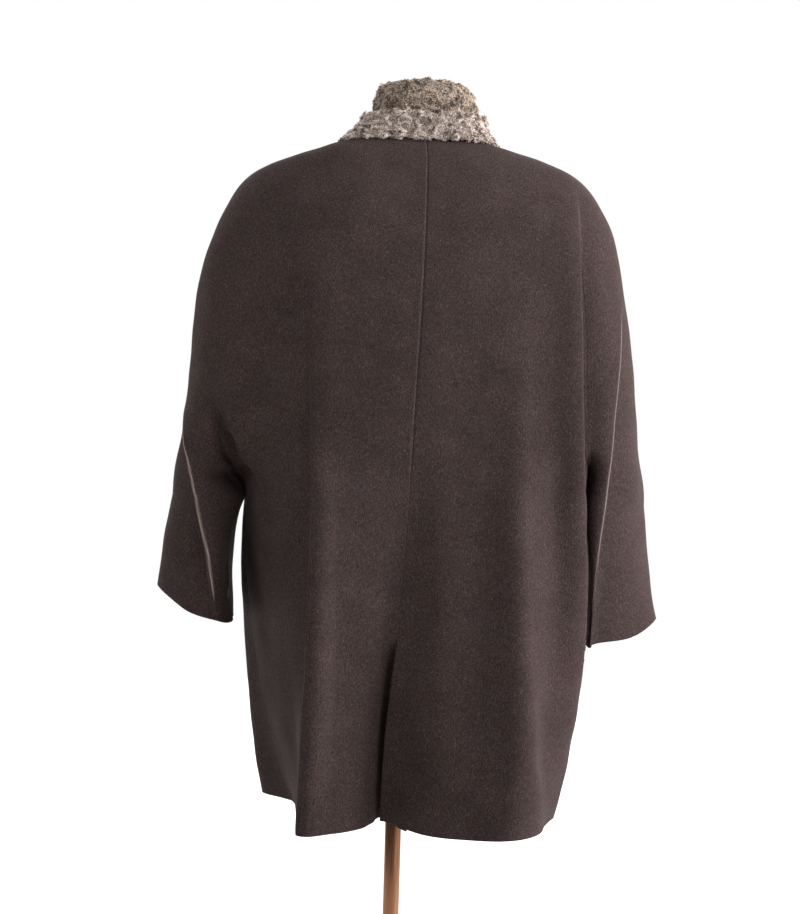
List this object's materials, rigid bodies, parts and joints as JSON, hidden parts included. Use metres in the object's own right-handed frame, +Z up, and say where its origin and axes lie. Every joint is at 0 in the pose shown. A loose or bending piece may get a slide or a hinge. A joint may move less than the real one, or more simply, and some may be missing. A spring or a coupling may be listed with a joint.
{
  "type": "oversized coat on a dress form",
  "caption": "Oversized wool coat with cut-on sleeves, a back vent and a two-tier fur collar, closed at the front, on a limbless dress form with pole and round base.",
  "frame": {"origin": "centre of the round base's underside, on the floor under the pole", "axes": "+Z up, +Y towards the wearer's back (the side the picture shows), +X towards the wearer's left"},
  "size_m": [0.673, 0.3921, 1.487],
  "materials": {
    "wool": "napped melange wool coating, dark brown",
    "fur_stand": "curly fur, olive tan with dark flecks",
    "fur_fall": "curly fur, pale taupe with charcoal flecks",
    "button": "satin, dark horn look",
    "form_cloth": "plain jersey cover",
    "pole_metal": "bronze-tinted polished tube",
    "base_paint": "satin dark powder coat"
  },
  "bodies": {
    "root": {"back_left": "wool", "back_right": "wool", "front_left": "wool", "front_right": "wool", "collar_stand": "fur_stand", "collar_fall": "fur_fall", "button_1": "button", "button_2": "button", "button_3": "button", "button_4": "button", "form_body": "form_cloth", "form_neck_cap": "pole_metal", "stand_base": "base_paint", "stand_pole": "pole_metal"}
  },
  "joints": []
}
